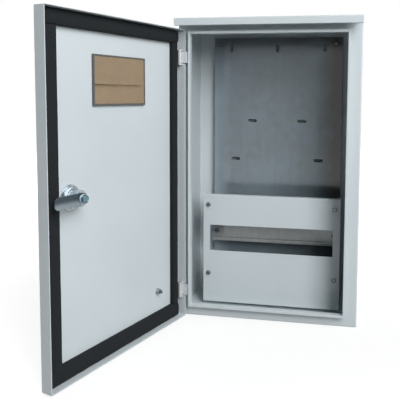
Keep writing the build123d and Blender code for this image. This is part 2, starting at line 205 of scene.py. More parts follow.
def remapped(tree, value, low, high, toLow, toHigh):
    spread = tree.nodes.new("ShaderNodeMapRange")
    for name, number in (("From Min", low), ("From Max", high), ("To Min", toLow), ("To Max", toHigh)):
        spread.inputs[name].default_value = number
    tree.links.new(value, spread.inputs["Value"])
    return spread.outputs["Result"]


def spreadOut(tree, noise, toLow=0.0, toHigh=1.0):  # most of a noise lies between 0.3 and 0.7
    return remapped(tree, noise, 0.3, 0.7, toLow, toHigh)


def mixedColour(tree, factor, first, second):
    mix = tree.nodes.new("ShaderNodeMix")
    mix.data_type = "RGBA"
    tree.links.new(factor, mix.inputs["Factor"])
    for socket, colour in ((mix.inputs[6], first), (mix.inputs[7], second)):
        if isinstance(colour, tuple):
            socket.default_value = colour + (1.0,)
        else:
            tree.links.new(colour, socket)
    return mix.outputs[2]


def wearing(tree, shader, tone, rough):
    tree.links.new(tone, shader.inputs["Base Color"])
    tree.links.new(rough, shader.inputs["Roughness"])


def bumped(tree, shader, height, strength, distance):
    bump = tree.nodes.new("ShaderNodeBump")
    bump.inputs["Strength"].default_value = strength
    bump.inputs["Distance"].default_value = distance
    tree.links.new(height, bump.inputs["Height"])
    tree.links.new(bump.outputs["Normal"], shader.inputs["Normal"])


# finishes

paintLook = {"light": (0.545, 0.600, 0.625), "shade": (0.515, 0.570, 0.596), "drift": 7.0, "gloss": 60.0,
             "rough": (0.36, 0.46), "peel": 850.0, "swell": 212.5, "bump": (0.10, 0.0002)}


def powderCoat():
    finish, tree, shader, where = startFinish("lightGreyPowderCoat")
    drift = spreadOut(tree, noiseOn(tree, where, paintLook["drift"], 3.0))
    gloss = spreadOut(tree, noiseOn(tree, where, paintLook["gloss"], 5.0), *paintLook["rough"])
    wearing(tree, shader, mixedColour(tree, drift, paintLook["shade"], paintLook["light"]), gloss)
    peel = summed(tree, noiseOn(tree, where, paintLook["peel"], 2.0),
                  noiseOn(tree, where, paintLook["swell"], 2.0), 0.6)
    bumped(tree, shader, peel, *paintLook["bump"])
    return finish


rolledLook = {"stretch": (26.0, 26.0, 1.6), "streaks": 3.0, "cast": 9.0, "bump": (0.015, 0.0002)}
# painted light on the plate: painted shade darkens it toward the right edge and the top, a painted reflection
# brightens its left edge
zincLook = {"light": (0.171, 0.214, 0.244), "dark": (0.152, 0.177, 0.191), "flakes": 75.0,
            "rough": (0.14, 0.21), "metal": 0.16,
            "paintedShading": {"shadeTone": (0.062, 0.058, 0.052), "right": (0.070, 0.104), "rightMost": 0.9,
                        "top": (0.195, 0.250), "topMost": 0.85,
                        "reflectionTone": (0.30, 0.36, 0.40), "left": (-0.118, -0.085),
                        "cloud": 24.0, "wander": 0.006}}
railLook = {"light": (0.430, 0.450, 0.446), "dark": (0.350, 0.367, 0.367), "flakes": 160.0,
            "rough": (0.16, 0.24), "metal": 0.12}


def withPaintedShading(tree, where, tone, look):  # painted reflection brightens the left edge, painted shade darkens toward the right edge and the top
    place = placeOn(tree, where)
    wander = spreadOut(tree, noiseOn(tree, where, look["cloud"]), -look["wander"], look["wander"])
    across = summed(tree, place["X"], wander, 1.0)
    upward = summed(tree, place["Z"], wander, 1.5)
    tone = mixedColour(tree, remapped(tree, across, *look["left"], 1, 0), tone, look["reflectionTone"])
    tone = mixedColour(tree, remapped(tree, upward, *look["top"], 0, look["topMost"]), tone, look["shadeTone"])
    return mixedColour(tree, remapped(tree, across, *look["right"], 0, look["rightMost"]), tone, look["shadeTone"])


def galvanisedSheet(name, look):
    finish, tree, shader, where = startFinish(name)
    flakes = remapped(tree, cellsOn(tree, where, look["flakes"], "Color"), 0.0, 1.0, 0.0, 0.55)
    grain = stretched(tree, where, rolledLook["stretch"])
    streaks = noiseOn(tree, grain, rolledLook["streaks"], 5.0, 0.6)
    pattern = summed(tree, flakes, spreadOut(tree, streaks), 0.45)
    cast = remapped(tree, noiseOn(tree, where, rolledLook["cast"], 3.0), 0.35, 0.65, -0.5, 0.5)
    tone = mixedColour(tree, summed(tree, pattern, cast, 0.8), look["dark"], look["light"])
    # the plate's painted shade and painted reflection are mixed into its tone here
    if "paintedShading" in look:
        tone = withPaintedShading(tree, where, tone, look["paintedShading"])
    wearing(tree, shader, tone, remapped(tree, pattern, 0.1, 0.9, *look["rough"]))
    shader.inputs["Metallic"].default_value = look["metal"]
    bumped(tree, shader, streaks, *rolledLook["bump"])
    return finish


platedLook = {"light": (0.205, 0.21, 0.205), "dark": (0.115, 0.12, 0.12), "mottle": 320.0,
              "rough": (0.28, 0.46), "metal": 0.75}
# the plate nuts wear a far darker copy of the zinc plating: painted shade for the shaded corners of the plate
shadedNutLook = {"light": (0.075, 0.076, 0.073), "dark": (0.042, 0.043, 0.042), "mottle": 320.0,
           "rough": (0.52, 0.68), "metal": 0.4}
hingeLook = {"light": (0.53, 0.55, 0.565), "dark": (0.45, 0.475, 0.49), "mottle": 220.0,
             "rough": (0.48, 0.62), "metal": 0.2}
earthLook = {"light": (0.36, 0.38, 0.385), "dark": (0.24, 0.26, 0.265), "mottle": 320.0,
             "rough": (0.30, 0.46), "metal": 0.5}


def zincPlating(name, look):
    finish, tree, shader, where = startFinish(name)
    mottle = noiseOn(tree, where, look["mottle"], 5.0, 0.6)
    tone = mixedColour(tree, spreadOut(tree, mottle), look["dark"], look["light"])
    wearing(tree, shader, tone, spreadOut(tree, mottle, *look["rough"]))
    shader.inputs["Metallic"].default_value = look["metal"]
    bumped(tree, shader, mottle, 0.08, 0.0001)
    return finish


chromeLook = {"light": (0.50, 0.56, 0.60), "dark": (0.32, 0.37, 0.41), "cloud": 90.0,
              "rough": (0.22, 0.34), "metal": 0.7}
boltLook = {"light": (0.150, 0.255, 0.300), "dark": (0.075, 0.135, 0.165), "cloud": 260.0,
            "rough": (0.16, 0.28), "metal": 0.85}
scuffLook = {"stretch": (500.0, 500.0, 60.0), "turn": (0.4, 0.2, 0.6), "bump": (0.015, 0.0001)}


def lockChrome(name, look):
    finish, tree, shader, where = startFinish(name)
    cloud = remapped(tree, noiseOn(tree, where, look["cloud"], 3.0), 0.35, 0.65, 0, 1)
    scuffs = noiseOn(tree, stretched(tree, where, scuffLook["stretch"], scuffLook["turn"]), 3.0, 3.0)
    wearing(tree, shader, mixedColour(tree, cloud, look["dark"], look["light"]),
            remapped(tree, scuffs, 0.3, 0.8, *look["rough"]))
    shader.inputs["Metallic"].default_value = look["metal"]
    bumped(tree, shader, scuffs, *scuffLook["bump"])
    return finish


camLook = {"light": (0.225, 0.270, 0.295), "dark": (0.050, 0.068, 0.082), "reflectionEdge": -0.0085, "blend": 0.0028,
           "wander": 0.00056, "cloud": 90.0, "rough": (0.22, 0.34), "metal": 0.8, "bump": (0.02, 0.0001)}


def camPlatingWithPaintedReflection():  # blue passivation, with a painted dark reflection over the upper half of the bar
    finish, tree, shader, where = startFinish("camPlatingWithPaintedReflection")
    cloud = noiseOn(tree, where, camLook["cloud"])
    level = summed(tree, placeOn(tree, where)["Z"], spreadOut(tree, cloud, -1.0, 1.0), camLook["wander"])
    low, high = camLook["reflectionEdge"] - camLook["blend"], camLook["reflectionEdge"] + camLook["blend"]
    # above the set height the bar takes the dark tone, a painted reflection
    tone = mixedColour(tree, remapped(tree, level, low, high, 0, 1), camLook["light"], camLook["dark"])
    wearing(tree, shader, tone, spreadOut(tree, cloud, *camLook["rough"]))
    shader.inputs["Metallic"].default_value = camLook["metal"]
    bumped(tree, shader, cloud, *camLook["bump"])
    return finish


foamLook = {"light": (0.0105, 0.0135, 0.0155), "dark": (0.0055, 0.0068, 0.0078), "pores": 900.0, "skin": 240.0,
            "rough": (0.78, 0.95), "specular": 0.24, "bump": (0.5, 0.0006)}


def blackFoam():
    finish, tree, shader, where = startFinish("blackFoam")
    pores = cellsOn(tree, where, foamLook["pores"], "Distance")
    skin = noiseOn(tree, where, foamLook["skin"], 6.0, 0.65)
    tone = mixedColour(tree, spreadOut(tree, skin), foamLook["dark"], foamLook["light"])
    wearing(tree, shader, tone, spreadOut(tree, skin, *foamLook["rough"]))
    shader.inputs["Specular IOR Level"].default_value = foamLook["specular"]
    bumped(tree, shader, summed(tree, skin, pores, 0.8), *foamLook["bump"])
    return finish


sealLook = {"light": (0.112, 0.112, 0.106), "dark": (0.074, 0.074, 0.070), "grain": 420.0, "rough": (0.55, 0.75),
            "bump": (0.2, 0.0002)}


def greySeal():
    finish, tree, shader, where = startFinish("greySealStrip")
    grain = noiseOn(tree, where, sealLook["grain"])
    tone = mixedColour(tree, spreadOut(tree, grain), sealLook["dark"], sealLook["light"])
    wearing(tree, shader, tone, spreadOut(tree, grain, *sealLook["rough"]))
    bumped(tree, shader, grain, *sealLook["bump"])
    return finish


paneLook = {"tint": (0.93, 0.96, 0.96), "index": 1.49, "rough": (0.02, 0.07), "hair": (30.0, 30.0, 600.0),
            "hairTurn": (0.0, 0.5, 0.3)}


def clearAcrylic():
    finish, tree, shader, where = startFinish("clearAcrylic")
    shader.inputs["Base Color"].default_value = paneLook["tint"] + (1.0,)
    shader.inputs["Transmission Weight"].default_value = 1.0
    shader.inputs["IOR"].default_value = paneLook["index"]
    hair = noiseOn(tree, stretched(tree, where, paneLook["hair"], paneLook["hairTurn"]), 2.0, 3.0)
    tree.links.new(remapped(tree, hair, 0.45, 0.75, *paneLook["rough"]), shader.inputs["Roughness"])
    return finish


kraftLook = {"light": (0.285, 0.212, 0.135), "dark": (0.200, 0.146, 0.093), "fleck": (0.12, 0.085, 0.05),
             "fibres": (40.0, 40.0, 520.0), "cloud": 45.0, "flecks": 950.0, "rough": (0.6, 0.8),
             "bump": (0.25, 0.0004)}
# painted shadow: the paper just below the seam between the two strips is darkened, most toward the lock side
seamShadowLook = {"colour": (0.105, 0.070, 0.034), "width": 0.0048, "over": 0.0004, "stop": 0.0006,
            "leastShadeAt": 0.012, "leastShade": 0.45, "fade": (0.016, 0.010)}


def paintedSeamShadow(tree, where):  # how dark the painted seam shadow is at each place
    low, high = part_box("upper_paper")
    seam, lockSide, hingeSide = low[2], low[1], high[1]
    place = placeOn(tree, where)
    below = remapped(tree, place["Z"], seam - seamShadowLook["width"], seam + seamShadowLook["over"], 0, 1)
    shadeAlong = remapped(tree, place["Y"], lockSide, hingeSide - seamShadowLook["leastShadeAt"], 1.0, seamShadowLook["leastShade"])
    fade = remapped(tree, place["Y"], *(hingeSide - inset for inset in seamShadowLook["fade"]), 1, 0)
    seamShade = mathOn(tree, "MULTIPLY", mathOn(tree, "MULTIPLY", below, shadeAlong), fade)
    return mathOn(tree, "MULTIPLY", seamShade, mathOn(tree, "LESS_THAN", place["Z"], seam + seamShadowLook["stop"]))


def kraftPaper():
    finish, tree, shader, where = startFinish("kraftPaper")
    fibres = noiseOn(tree, stretched(tree, where, kraftLook["fibres"]), 2.2, 6.0, 0.65)
    cloud = noiseOn(tree, where, kraftLook["cloud"], 5.0, 0.6)
    body = summed(tree, remapped(tree, fibres, 0.25, 0.75, 0, 0.6), spreadOut(tree, cloud), 0.5)
    tone = mixedColour(tree, body, kraftLook["dark"], kraftLook["light"])
    flecks = remapped(tree, noiseOn(tree, where, kraftLook["flecks"], 2.0), 0.66, 0.74, 0, 0.6)
    tone = mixedColour(tree, flecks, tone, kraftLook["fleck"])
    # painted shadow along the seam
    tone = mixedColour(tree, paintedSeamShadow(tree, where), tone, seamShadowLook["colour"])
    wearing(tree, shader, tone, spreadOut(tree, cloud, *kraftLook["rough"]))
    bumped(tree, shader, summed(tree, cloud, fibres, 0.4), *kraftLook["bump"])
    return finish


finishes = {"grey_paint": powderCoat(), "galvanised_sheet": galvanisedSheet("galvanisedSheet", zincLook),
            "hinge_zinc": zincPlating("hingeZinc", hingeLook),
            "zinc_steel": zincPlating("dullZincPlating", platedLook),
            "lock_chrome": lockChrome("lockChrome", chromeLook), "black_foam": blackFoam(),
            "grey_seal": greySeal(), "clear_pane": clearAcrylic(), "kraft_paper": kraftPaper()}

# pieces whose finish differs from the rest of their slot
ownFinish = {"din_rail": galvanisedSheet("brightRail", railLook), "lock_cam": camPlatingWithPaintedReflection(),
             "lock_plug": lockChrome("plugPlating", boltLook), "plate_nuts": zincPlating("nutsDarkenedForShade", shadedNutLook)}
ownFinish["cam_bolt"] = ownFinish["lock_plug"]
ownFinish["door_earth_nut"] = ownFinish["door_earth_washer"] = zincPlating("brightZincPlating", earthLook)


def finishOf(node):
    return ownFinish.get(node, finishes[slotOf[node]])


print("finishes made:", len(finishes), "and for single pieces:", len(ownFinish))


# folded sheet and machined pieces: the CAD form with its edges eased by these widths

easedEdges = {"cabinet_shell": 0.00030, "door_panel": 0.00030, "cover_panel": 0.00030,
              "mounting_plate": 0.00025, "din_rail": 0.00045,
              "upper_cabinet_leaf": 0.00040, "lower_cabinet_leaf": 0.00040,
              "upper_hinge_fork": 0.00040, "lower_hinge_fork": 0.00040,
              "upper_hinge_pin": 0.00020, "lower_hinge_pin": 0.00020,
              "cover_posts": 0.00030, "cover_screws": 0.00018, "rail_spacers": 0.00025,
              "rail_screws": 0.00018, "plate_spacers": 0.00025,
              "window_seal": 0.00020, "window_pane": 0.00030,
              "lock_body": 0.00030, "lock_washer": 0.00025, "lock_plug": 0.00025, "lock_cam": 0.00045,
              "cam_washer": 0.00025}
easeLook = {"flatWithin": 0.4, "corner": 38.0, "segments": 2, "flatWeight": 60}


def easedCopy(node, width):
    bm = bmesh.new()
    bm.from_mesh(frame["nodes"][node].data)
    bmesh.ops.remove_doubles(bm, verts=bm.verts, dist=samePoint)
    bmesh.ops.dissolve_limit(bm, angle_limit=math.radians(easeLook["flatWithin"]), verts=bm.verts, edges=bm.edges)
    surface = BVHTree.FromBMesh(bm)
    mesh = meshFrom(bm, "eased_" + node)
    mesh.shade_smooth()
    obj = looseObject("eased_" + node, mesh)
    ease = obj.modifiers.new("ease", "BEVEL")
    ease.width = width
    ease.segments = easeLook["segments"]
    ease.limit_method = "ANGLE"
    ease.angle_limit = math.radians(easeLook["corner"])
    ease.use_clamp_overlap = False
    level = obj.modifiers.new("level", "WEIGHTED_NORMAL")  # keeps flat faces flat beside the eased edges
    level.weight = easeLook["flatWeight"]
    bakeModifiers(obj)
    low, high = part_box(node)
    for vert in obj.data.vertices:  # where folds meet, a stray point goes back to the sheet
        nearest, normal, face, distance = surface.find_nearest(vert.co)
        if distance > width:
            vert.co = nearest
        vert.co = [min(max(vert.co[i], low[i]), high[i]) for i in range(3)]
    return settlePiece(obj, [node], finishOf(node))


for node, width in easedEdges.items():
    easedCopy(node, width)
print("eased pieces made:", len(easedEdges))


# geometry nodes: a threaded rod along Z, and a fixing set at each place

rodLook = {"stepsPerTurn": 20, "ridgeSides": 4, "coreSides": 28, "smoothUnder": 50}


def startTree(name, inputs):
    tree = bpy.data.node_groups.new(name, "GeometryNodeTree")
    ids = {}
    for label, kind in inputs:
        ids[label] = tree.interface.new_socket(label, in_out="INPUT", socket_type="NodeSocket" + kind).identifier
    tree.interface.new_socket("Mesh", in_out="OUTPUT", socket_type="NodeSocketGeometry")
    return tree, ids, tree.nodes.new("NodeGroupInput").outputs


def endTree(tree, geometry, finish):  # instances made real, and wearing the finish
    real = tree.nodes.new("GeometryNodeRealizeInstances")
    tree.links.new(geometry, real.inputs[0])
    painted = tree.nodes.new("GeometryNodeSetMaterial")
    tree.links.new(real.outputs[0], painted.inputs["Geometry"])
    tree.links.new(finish, painted.inputs["Material"])
    tree.links.new(painted.outputs[0], tree.nodes.new("NodeGroupOutput").inputs[0])


def threadTree():
    tree, ids, given = startTree("threadedRod", [
        ("Places", "Geometry"), ("Radius", "Float"), ("Pitch", "Float"), ("Length", "Float"), ("Ridge", "Float"),
        ("Finish", "Material")])
    link = tree.links.new
    root = mathOn(tree, "SUBTRACT", given["Radius"], given["Ridge"])
    helix = tree.nodes.new("GeometryNodeCurveSpiral")
    helix.inputs["Resolution"].default_value = rodLook["stepsPerTurn"]
    link(mathOn(tree, "DIVIDE", given["Length"], given["Pitch"]), helix.inputs["Rotations"])
    link(root, helix.inputs["Start Radius"])
    link(root, helix.inputs["End Radius"])
    link(given["Length"], helix.inputs["Height"])
    section = tree.nodes.new("GeometryNodeCurvePrimitiveCircle")
    section.inputs["Resolution"].default_value = rodLook["ridgeSides"]
    link(given["Ridge"], section.inputs["Radius"])
    ridge = tree.nodes.new("GeometryNodeCurveToMesh")
    ridge.inputs["Fill Caps"].default_value = True
    link(helix.outputs[0], ridge.inputs["Curve"])
    link(section.outputs[0], ridge.inputs["Profile Curve"])
    core = tree.nodes.new("GeometryNodeMeshCylinder")
    core.inputs["Vertices"].default_value = rodLook["coreSides"]
    link(root, core.inputs["Radius"])
    link(given["Length"], core.inputs["Depth"])
    lift = tree.nodes.new("ShaderNodeCombineXYZ")
    link(mathOn(tree, "MULTIPLY", given["Length"], 0.5), lift.inputs["Z"])
    raised = tree.nodes.new("GeometryNodeTransform")
    link(core.outputs["Mesh"], raised.inputs["Geometry"])
    link(lift.outputs[0], raised.inputs["Translation"])
    joined = tree.nodes.new("GeometryNodeJoinGeometry")
    link(ridge.outputs[0], joined.inputs[0])
    link(raised.outputs[0], joined.inputs[0])
    endTree(tree, joined.outputs[0], given["Finish"])
    return tree, ids


def fixingTree():
    tree, ids, given = startTree("fixingAtPlaces", [
        ("Places", "Geometry"), ("Fixing", "Object"), ("Turn", "Vector"), ("Spin", "Float"), ("Seed", "Int"),
        ("Finish", "Material")])
    link = tree.links.new
    source = tree.nodes.new("GeometryNodeObjectInfo")
    link(given["Fixing"], source.inputs["Object"])
    put = tree.nodes.new("GeometryNodeInstanceOnPoints")
    link(given["Places"], put.inputs["Points"])
    link(source.outputs["Geometry"], put.inputs["Instance"])
    link(given["Turn"], put.inputs["Rotation"])
    chance = tree.nodes.new("FunctionNodeRandomValue")
    chance.data_type = "FLOAT"
    link(given["Spin"], chance.inputs[3])
    link(given["Seed"], chance.inputs["Seed"])
    about = tree.nodes.new("ShaderNodeCombineXYZ")
    link(chance.outputs[1], about.inputs["Z"])
    spun = tree.nodes.new("GeometryNodeRotateInstances")
    link(put.outputs[0], spun.inputs["Instances"])
    link(about.outputs[0], spun.inputs["Rotation"])
    endTree(tree, spun.outputs[0], given["Finish"])
    return tree, ids


rodTree, rodIds = threadTree()
setTree, setIds = fixingTree()


def throughTree(obj, tree, ids, values):
    step = obj.modifiers.new("nodes", "NODES")
    step.node_group = tree
    for label, value in values.items():
        step[ids[label]] = value
    return bakeModifiers(obj)


def threadedRod(name, radius, pitch, length, ridge, finish):
    rod = looseObject(name, bpy.data.meshes.new(name))
    throughTree(rod, rodTree, rodIds, {"Radius": radius, "Pitch": pitch, "Length": length, "Ridge": ridge,
                                       "Finish": finish})
    shadeByAngle(rod.data, rodLook["smoothUnder"])
    return rod


def facing(atBack):  # a fixing made along Z stands out to the front from its back end, or the other way
    return (math.pi / 2 if atBack else -math.pi / 2, 0.0, 0.0)


def setFixings(name, fixing, places, turn, spin, seed, node):
    mesh = bpy.data.meshes.new(name)
    mesh.from_pydata([tuple(p) for p in places], [], [])
    obj = looseObject(name, mesh)
    throughTree(obj, setTree, setIds, {"Fixing": fixing, "Turn": turn, "Spin": spin, "Seed": seed,
                                       "Finish": finishOf(node)})
    if bodyOf[node] in onDoor:
        obj.data.transform(swingOpen)
    bpy.data.objects.remove(fixing)
    return settlePiece(obj, [node], finishOf(node))


# turned shapes: nuts, the bolt's head and washers

nutShape = {"crown": 0.97, "sink": 0.12, "steps": 72}
boltShape = {"crown": 0.95, "rim": 0.8, "dish": 0.74, "dishLevel": 0.94, "middle": 0.002, "steps": 72}
washerShape = {"ease": 0.2, "steps": 48}
turnedSmooth = 28  # degrees
coneSlope = math.tan(math.radians(30))


def latheMesh(name, profile, steps):  # rings of (radius, height) about Z, closed from last to first
    bm = bmesh.new()
    rings = []
    for radius, height in profile:
        ring = []
        for step in range(steps):
            angle = 2 * math.pi * step / steps
            reach = radius(angle) if callable(radius) else radius
            rise = height(angle) if callable(height) else height
            ring.append(bm.verts.new((reach * math.cos(angle), reach * math.sin(angle), rise)))
        rings.append(ring)
    for inner, outer in zip(rings, rings[1:] + rings[:1]):
        for step in range(steps):
            after = (step + 1) % steps
            bm.faces.new((inner[step], inner[after], outer[after], outer[step]))
    bmesh.ops.recalc_face_normals(bm, faces=bm.faces)
    mesh = meshFrom(bm, name)
    shadeByAngle(mesh, turnedSmooth)
    return mesh


def turnedHexagon(flats, crown):  # flats all round, corners turned to a cone outside the crown
    sixth = math.pi / 3
    reach = lambda angle: flats / 2 / math.cos((angle + sixth / 2) % sixth - sixth / 2)
    turned = flats / 2 * crown
    fall = lambda angle: (reach(angle) - turned) * coneSlope
    return reach, turned, fall


def nutMesh(name, flats, thick, bore):
    reach, turned, fall = turnedHexagon(flats, nutShape["crown"])
    topEdge = lambda angle: thick - fall(angle)
    sink = thick * nutShape["sink"]
    return latheMesh(name, [(bore + sink, 0.0), (turned, 0.0), (reach, fall), (reach, topEdge), (turned, thick),
                            (bore + sink, thick), (bore, thick - sink), (bore, sink)], nutShape["steps"])


def boltHeadMesh(name, flats, thick):
    reach, turned, fall = turnedHexagon(flats, boltShape["crown"])
    topEdge = lambda angle: thick - fall(angle)
    middle, dishLevel = flats * boltShape["middle"], thick * boltShape["dishLevel"]
    return latheMesh(name, [(middle, 0.0), (reach, 0.0), (reach, topEdge), (turned, thick),
                            (turned * boltShape["rim"], thick), (turned * boltShape["dish"], dishLevel),
                            (middle, dishLevel)], boltShape["steps"])


def washerMesh(name, radius, bore, thick):
    ease = thick * washerShape["ease"]
    return latheMesh(name, [(bore, 0.0), (radius - ease, 0.0), (radius, ease), (radius, thick - ease),
                            (radius - ease, thick), (bore + ease, thick), (bore, thick - ease)],
                     washerShape["steps"])


# studs, nuts and washers at the CAD's places

studLook = {"pitch": 0.0009, "ridge": 0.00024, "play": 0.00004, "postRadius": 0.002, "railRadius": 0.0025}


def middles(node, atBack):
    return [((low.x + high.x) / 2, high.y if atBack else low.y, (low.z + high.z) / 2)
            for low, high in solidBoxes(node)]


def spanOf(node):  # one solid's width over its flats or its diameter, and its length along Y
    low, high = solidBoxes(node)[0]
    span = high - low
    return min(span.x, span.z), span.y


def studsFor(name, node, atBack, seed):
    width, length = spanOf(node)
    rod = threadedRod(name + "Rod", width / 2, studLook["pitch"], length, studLook["ridge"], finishOf(node))
    return setFixings(name, rod, middles(node, atBack), facing(atBack), 2 * math.pi, seed, node)


def nutsFor(name, node, bore, atBack, seed, spin=math.pi / 3):
    flats, thick = spanOf(node)
    nut = looseObject(name + "Nut", nutMesh(name + "Nut", flats, thick, bore))
    return setFixings(name, nut, middles(node, atBack), facing(atBack), spin, seed, node)


def washersFor(name, node, bore, atBack):
    width, thick = spanOf(node)
    ring = looseObject(name + "Ring", washerMesh(name + "Ring", width / 2, bore, thick))
    return setFixings(name, ring, middles(node, atBack), facing(atBack), 0.0, 1, node)


studBore = spanOf("plate_studs")[0] / 2 + studLook["play"]
postBore = studLook["postRadius"] + studLook["play"]
railBore = studLook["railRadius"] + studLook["play"]

studsFor("plateStuds", "plate_studs", True, 3)
nutsFor("plateNuts", "plate_nuts", studBore, True, 5)
nutsFor("postNuts", "post_nuts", postBore, False, 7)
nutsFor("railNuts", "rail_nuts", railBore, False, 9)
studsFor("earthStud", "earth_stud", True, 11)
nutsFor("earthNut", "earth_nut", studBore, True, 13)
washersFor("earthWasher", "earth_washer", studBore, True)
studsFor("doorEarthStud", "door_earth_stud", False, 15)
nutsFor("doorEarthNut", "door_earth_nut", studBore, False, 17)
washersFor("doorEarthWasher", "door_earth_washer", studBore, False)
print("studs, nuts and washers set")


# lock: big nut and cam bolt, and the thread on the barrel

lockLook = {"nutBore": 0.01105, "boltFlats": 0.010, "boltThick": 0.004, "pitch": 0.0015, "ridge": 0.00022,
            "barrelPlay": 0.00005, "threadStop": 0.0012}


def camBolt():
    head = looseObject("camBoltHead", boltHeadMesh("camBoltHead", lockLook["boltFlats"], lockLook["boltThick"]))
    low, high = shutBox("cam_bolt")
    place = ((low.x + high.x) / 2, high.y - lockLook["boltThick"], (low.z + high.z) / 2)
    return setFixings("camBolt", head, [place], facing(False), 0.0, 1, "cam_bolt")


def barrelThread():
    low, high = shutBox("lock_nut")
    start, end = high.y, shutBox("lock_body")[1].y - lockLook["threadStop"]
    radius = lockLook["nutBore"] - lockLook["barrelPlay"] + lockLook["ridge"] * 0.5
    rod = threadedRod("barrelThread", radius, lockLook["pitch"], end - start, lockLook["ridge"],
                      finishes["lock_chrome"])
    # only the ridge is wanted: the core, which ends in two big caps, would fill the barrel
    bm = bmesh.new()
    bm.from_mesh(rod.data)
    core = {v for face in bm.faces if len(face.verts) > rodLook["ridgeSides"] for v in face.verts}
    bmesh.ops.delete(bm, geom=list(core), context="VERTS")
    bm.to_mesh(rod.data)
    bm.free()
    place = Matrix.Translation(((low.x + high.x) / 2, start, (low.z + high.z) / 2))
    rod.data.transform(swingOpen @ place @ Matrix.Rotation(-math.pi / 2, 4, "X"))
    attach(rod, "door")
    return rod


nutsFor("lockRingNut", "lock_nut", lockLook["nutBore"], False, 19, 0.0)
camBolt()
barrelThread()
print("lock made")


# gasket: four foam strips, butted at the corners, each with a soft crown

gasketLook = {"stations": 60, "crown": 0.0009, "crownSteps": 8, "round": 0.0026, "roundSteps": 4,
              "wave": 0.00018, "ripples": (23, 57), "joint": 0.00025, "smoothUnder": 45}


def stripSection(width, height):  # across and up, from one foot round to the other
    radius, crown, quarter = gasketLook["round"], gasketLook["crown"], gasketLook["roundSteps"]
    shoulder = height - crown
    points = [(0.0, 0.0)]
    for step in range(quarter + 1):
        angle = math.pi - step * math.pi / 2 / quarter
        points.append((radius + radius * math.cos(angle), shoulder - radius + radius * math.sin(angle)))
    for step in range(1, gasketLook["crownSteps"]):
        along = step / gasketLook["crownSteps"]
        points.append((radius + (width - 2 * radius) * along, shoulder + crown * math.sin(math.pi * along)))
    for step in range(quarter + 1):
        angle = math.pi / 2 - step * math.pi / 2 / quarter
        points.append((width - radius + radius * math.cos(angle), shoulder - radius + radius * math.sin(angle)))
    return points + [(width, 0.0)]


def foamStrip(bm, start, along, across, length, width, height, phase):
    up = Vector((0, 1, 0))
    section = stripSection(width, height)
    slow, quick = gasketLook["ripples"]
    rings = []
    for station in range(gasketLook["stations"] + 1):
        share = station / gasketLook["stations"]
        sway = gasketLook["wave"] * (math.sin(slow * share + phase) + 0.6 * math.sin(quick * share + 2 * phase))
        ring = []
        for side, rise in section:
            dip = min(0.0, sway) if rise > height / 2 else 0.0
            ring.append(bm.verts.new(start + along * (length * share) + across * side + up * (rise + dip)))
        rings.append(ring)
    for first, second in zip(rings, rings[1:]):
        for index in range(len(section)):
            after = (index + 1) % len(section)
            bm.faces.new((first[index], first[after], second[after], second[index]))
    bm.faces.new(rings[0])
    bm.faces.new(list(reversed(rings[-1])))


def foamGasket():
    points = shutPoints("door_gasket")
    low, high = boxOf(points)
    middle = (low + high) / 2
    base = [p for p in points if p.y < low.y + 10 * samePoint]
    innerLeft = max(p.x for p in base if p.x < middle.x)
    innerRight = min(p.x for p in base if p.x > middle.x)
    innerLow = max(p.z for p in base if p.z < middle.z)
    innerHigh = min(p.z for p in base if p.z > middle.z)
    height = high.y - low.y
    wide = high.x - low.x
    tall = innerHigh - innerLow - 2 * gasketLook["joint"]
    foot = innerLow + gasketLook["joint"]
    right, up = Vector((1, 0, 0)), Vector((0, 0, 1))
    bm = bmesh.new()
    foamStrip(bm, Vector((low.x, low.y, low.z)), right, up, wide, innerLow - low.z, height, 0.4)
    foamStrip(bm, Vector((low.x, low.y, innerHigh)), right, up, wide, high.z - innerHigh, height, 1.7)
    foamStrip(bm, Vector((low.x, low.y, foot)), up, right, tall, innerLeft - low.x, height, 2.9)
    foamStrip(bm, Vector((innerRight, low.y, foot)), up, right, tall, high.x - innerRight, height, 4.1)
    bmesh.ops.recalc_face_normals(bm, faces=bm.faces)
    bm.transform(swingOpen)
    mesh = meshFrom(bm, "foamGasket")
    shadeByAngle(mesh, gasketLook["smoothUnder"])
    return settlePiece(looseObject("foamGasket", mesh), ["door_gasket"], finishOf("door_gasket"))


foamGasket()
print("gasket made")


# protective paper: two creased strips on the inside of the pane, lifting a little at the seam

paperLook = {"across": 70, "down": 26, "thick": 0.00016, "crease": 0.00016, "lift": 0.0009, "lifted": 0.2,
             "overlap": 0.003, "flatEdge": 12, "smoothUnder": 50}


def paperRise(u, v, lift, phase):  # how far the sheet stands off the pane
    crease = 0.5 + 0.3 * math.sin(19 * u + 7 * v + phase) + 0.2 * math.sin(41 * u - 17 * v + 2 * phase)
    edge = min(1.0, paperLook["flatEdge"] * min(u, 1 - u))
    nearSeam = max(0.0, paperLook["lifted"] - v) / paperLook["lifted"]
    curl = 0.6 + 0.4 * math.sin(4.2 * u + phase) ** 2
    return paperLook["crease"] * crease * edge + lift * nearSeam * curl


def rimOf(rows):
    return rows[0] + [r[-1] for r in rows[1:]] + rows[-1][-2::-1] + [r[0] for r in rows[-2:0:-1]]


